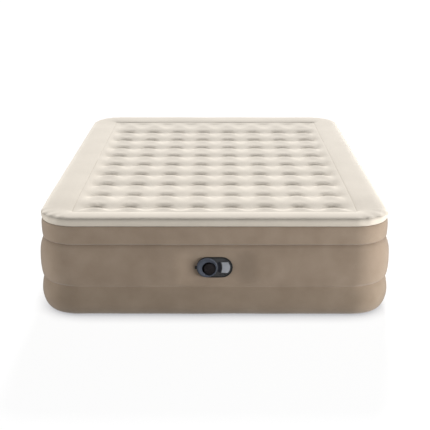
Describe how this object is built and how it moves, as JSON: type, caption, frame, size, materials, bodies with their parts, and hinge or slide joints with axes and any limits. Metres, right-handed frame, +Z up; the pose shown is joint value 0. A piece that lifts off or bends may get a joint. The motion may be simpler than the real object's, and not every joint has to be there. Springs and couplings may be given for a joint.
{
  "type": "air mattress",
  "caption": "Queen-size raised air mattress: cream quilted top, taupe sides in three tiers, built-in electric pump with dial and cord door on the front end.",
  "frame": {"origin": "centre of the footprint, on the floor", "axes": "+Z up, -Y out of the pump end, +X to the right seen from the pump end"},
  "size_m": [1.52, 2.03, 0.457],
  "materials": {
    "cream_flock": "flocked vinyl",
    "taupe_flock": "flocked vinyl",
    "plain_vinyl": "smooth vinyl sheet",
    "fibre_panel": "woven fibre between vinyl strips",
    "charcoal_plastic": "fine moulded grain",
    "slate_plastic": "semi-gloss moulded",
    "black_plastic": "moulded",
    "label_plastic": "satin plate",
    "seal_rubber": "matt",
    "steel": "satin",
    "armature": "laminations and windings"
  },
  "bodies": {
    "root": {"blower_casing": "charcoal_plastic", "bottom_sheet": "taupe_flock", "bulkhead_screw_1": "steel", "bulkhead_screw_2": "steel", "bulkhead_screw_3": "steel", "bulkhead_screw_4": "steel", "cord_gland": "seal_rubber", "cord_tub": "charcoal_plastic", "door_hinge_pin": "steel", "face_plate": "charcoal_plastic", "fibre_tie_panel_1": "fibre_panel", "fibre_tie_panel_2": "fibre_panel", "fibre_tie_panel_3": "fibre_panel", "fibre_tie_panel_4": "fibre_panel", "fibre_tie_panel_5": "fibre_panel", "fibre_tie_panel_6": "fibre_panel", "fibre_tie_panel_7": "fibre_panel", "fibre_tie_panel_8": "fibre_panel", "fibre_tie_panel_9": "fibre_panel", "flap_hinge_pin": "steel", "front_bearing": "steel", "housing_gasket": "seal_rubber", "lower_beam_1": "plain_vinyl", "lower_beam_2": "plain_vinyl", "lower_beam_3": "plain_vinyl", "lower_membrane": "plain_vinyl", "lower_side_wall": "taupe_flock", "middle_beam_1": "plain_vinyl", "middle_beam_2": "plain_vinyl", "middle_beam_3": "plain_vinyl", "middle_beam_4": "plain_vinyl", "middle_membrane": "plain_vinyl", "middle_side_wall": "taupe_flock", "motor_can": "steel", "motor_end_cap": "steel", "pump_bezel": "charcoal_plastic", "pump_bulkhead": "charcoal_plastic", "pump_housing": "black_plastic", "pump_wall_patch": "taupe_flock", "pump_weld_flange": "plain_vinyl", "rear_bearing": "steel", "rotary_switch": "charcoal_plastic", "top_border": "cream_flock", "top_sheet": "cream_flock", "upper_side_wall": "taupe_flock", "valve_seat": "charcoal_plastic"},
    "dial": {"control_knob": "slate_plastic", "knob_grille": "black_plastic", "diverter_drum": "black_plastic", "knob_stem": "black_plastic"},
    "motor_rotor": {"motor_shaft": "steel", "impeller": "slate_plastic", "motor_armature": "armature"},
    "cord_door_body": {"cord_door": "charcoal_plastic", "door_label": "label_plastic"},
    "check_flap": {"valve_flap": "seal_rubber"}
  },
  "joints": [
    {"name": "dial_turn", "type": "hinge", "parent": "root", "child": "dial", "pos_m": [-0.0315, -1.004, 0.231], "axis": [0, -1, 0], "range_deg": [-60, 60]},
    {"name": "motor_spin", "type": "hinge", "parent": "root", "child": "motor_rotor", "pos_m": [-0.0315, -0.924, 0.231], "axis": [0, -1, 0], "continuous": true},
    {"name": "cord_door_swing", "type": "hinge", "parent": "root", "child": "cord_door_body", "pos_m": [0.0355, -1.0063, 0.1995], "axis": [1, 0, 0], "range_deg": [0, 90]},
    {"name": "check_flap_swing", "type": "hinge", "parent": "root", "child": "check_flap", "pos_m": [0.036, -0.8879, 0.2495], "axis": [1, 0, 0], "range_deg": [0, 40]}
  ]
}
